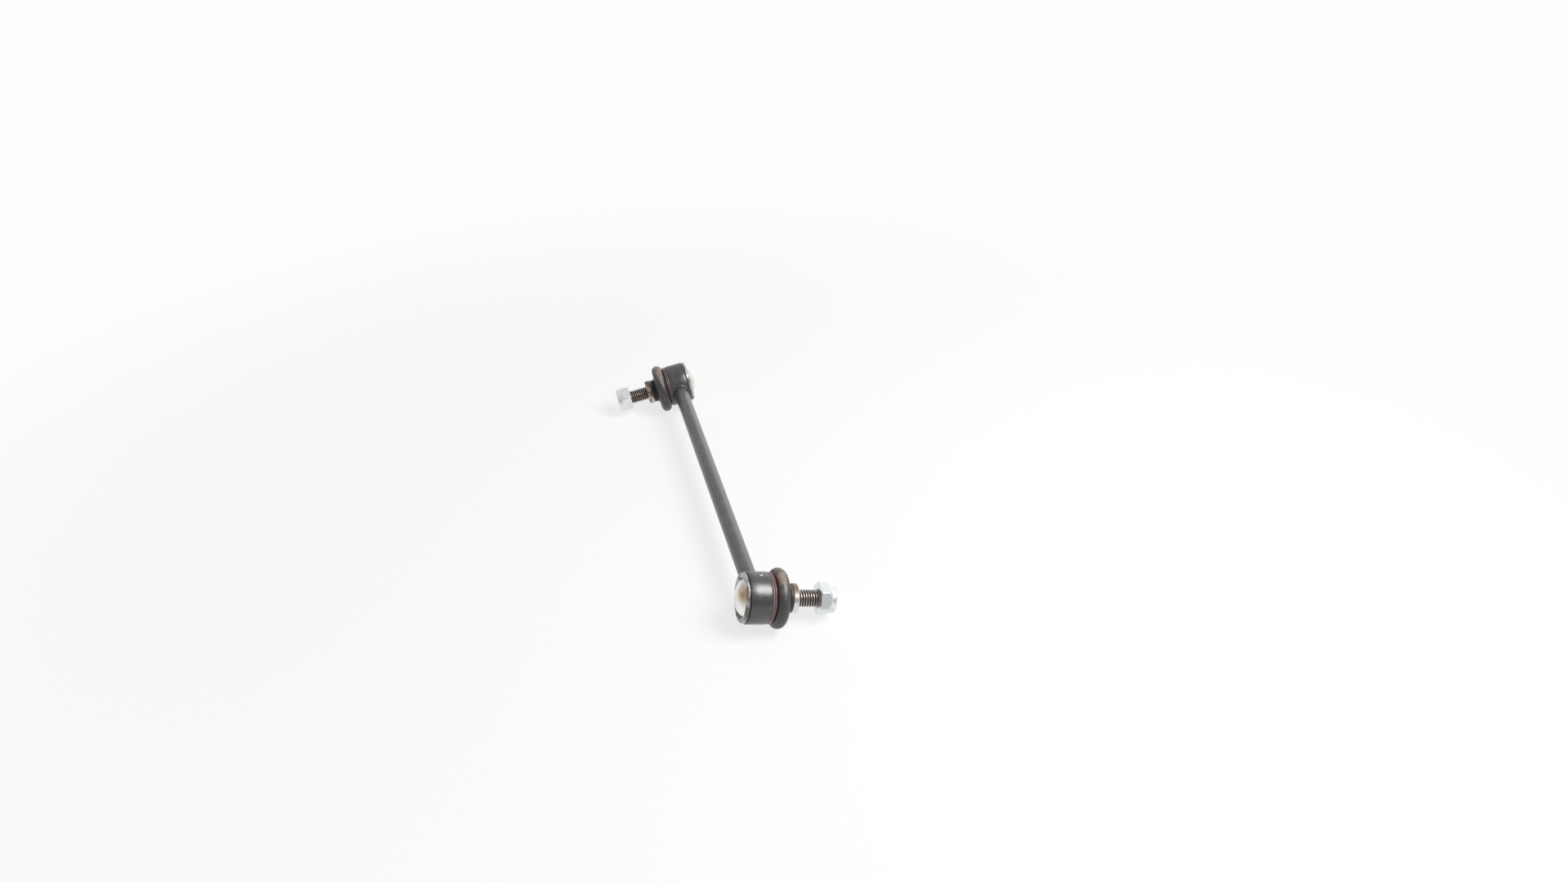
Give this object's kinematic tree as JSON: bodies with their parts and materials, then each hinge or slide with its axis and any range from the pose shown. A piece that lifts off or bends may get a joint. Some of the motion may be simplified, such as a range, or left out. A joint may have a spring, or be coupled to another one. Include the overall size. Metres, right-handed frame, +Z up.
{
  "type": "stabilizer link",
  "caption": "Straight round rod with a welded ball joint at each end, each with a rubber boot, a threaded stud and a lock nut; ties an anti-roll bar to a strut.",
  "frame": {"origin": "on the floor under the middle of the rod, with the link lying on its two boots", "axes": "+Y along the rod towards the strut end, +Z up, +X the way the bar end's stud points"},
  "size_m": [0.0944, 0.305, 0.0356],
  "materials": {
    "black_coat": "satin",
    "weld": "rough",
    "zinc": "satin",
    "clamp_wire": "satin",
    "rubber": "matt",
    "seat_plastic": "matt",
    "ring_wire": "satin",
    "stud_steel": "satin",
    "nylon": "matt",
    "nut_zinc": "satin"
  },
  "bodies": {
    "link": {"rod": "black_coat", "bar_housing": "black_coat", "bar_weld_bead": "weld", "bar_end_cap": "zinc", "bar_boot_clamp": "clamp_wire", "bar_dust_boot": "rubber", "strut_housing": "black_coat", "strut_weld_bead": "weld", "strut_end_cap": "zinc", "strut_boot_clamp": "clamp_wire", "strut_dust_boot": "rubber"},
    "bar_seat": {"bar_ball_seat": "seat_plastic"},
    "bar_neck": {"bar_neck_ring": "ring_wire"},
    "bar_stud": {"bar_ball_stud": "stud_steel"},
    "bar_insert": {"bar_nut_insert": "nylon"},
    "bar_nut": {"bar_lock_nut": "nut_zinc"},
    "strut_seat": {"strut_ball_seat": "seat_plastic"},
    "strut_neck": {"strut_neck_ring": "ring_wire"},
    "strut_stud": {"strut_ball_stud": "stud_steel"},
    "strut_insert": {"strut_nut_insert": "nylon"},
    "strut_nut": {"strut_lock_nut": "nut_zinc"}
  },
  "joints": [
    {"name": "bar_swivel", "type": "hinge", "parent": "link", "child": "bar_seat", "pos_m": [0, -0.135, 0.01967], "axis": [0.9816, 0, -0.1908], "continuous": true},
    {"name": "bar_tilt", "type": "hinge", "parent": "bar_seat", "child": "bar_neck", "pos_m": [0, -0.135, 0.01967], "axis": [0.1908, 0, 0.9816], "range_deg": [-22, 22], "deforming": ["bar_dust_boot"]},
    {"name": "bar_spin", "type": "hinge", "parent": "bar_neck", "child": "bar_stud", "pos_m": [0, -0.135, 0.01967], "axis": [0.9816, 0, -0.1908], "continuous": true},
    {"name": "bar_nut_travel", "type": "slide", "parent": "bar_stud", "child": "bar_insert", "axis": [0.9816, 0, -0.1908], "range_m": [-0.01225, 0.0125]},
    {"name": "bar_nut_turn", "type": "hinge", "parent": "bar_insert", "child": "bar_nut", "pos_m": [0.03603, -0.135, 0.01267], "axis": [0.9816, 0, -0.1908], "range_deg": [-2952, 3012]},
    {"name": "strut_swivel", "type": "hinge", "parent": "link", "child": "strut_seat", "pos_m": [0, 0.135, 0.01967], "axis": [-0.9816, 0, -0.1908], "continuous": true},
    {"name": "strut_tilt", "type": "hinge", "parent": "strut_seat", "child": "strut_neck", "pos_m": [0, 0.135, 0.01967], "axis": [-0.1908, 0, 0.9816], "range_deg": [-22, 22], "deforming": ["strut_dust_boot"]},
    {"name": "strut_spin", "type": "hinge", "parent": "strut_neck", "child": "strut_stud", "pos_m": [0, 0.135, 0.01967], "axis": [-0.9816, 0, -0.1908], "continuous": true},
    {"name": "strut_nut_travel", "type": "slide", "parent": "strut_stud", "child": "strut_insert", "axis": [-0.9816, 0, -0.1908], "range_m": [-0.01225, 0.0125]},
    {"name": "strut_nut_turn", "type": "hinge", "parent": "strut_insert", "child": "strut_nut", "pos_m": [-0.03603, 0.135, 0.01267], "axis": [-0.9816, 0, -0.1908], "range_deg": [-2952, 3012]}
  ],
  "couplings": [
    {"joint": "bar_nut_turn", "follows": "bar_nut_travel", "rad_per_m": 4188.8},
    {"joint": "strut_nut_turn", "follows": "strut_nut_travel", "rad_per_m": 4188.8}
  ]
}
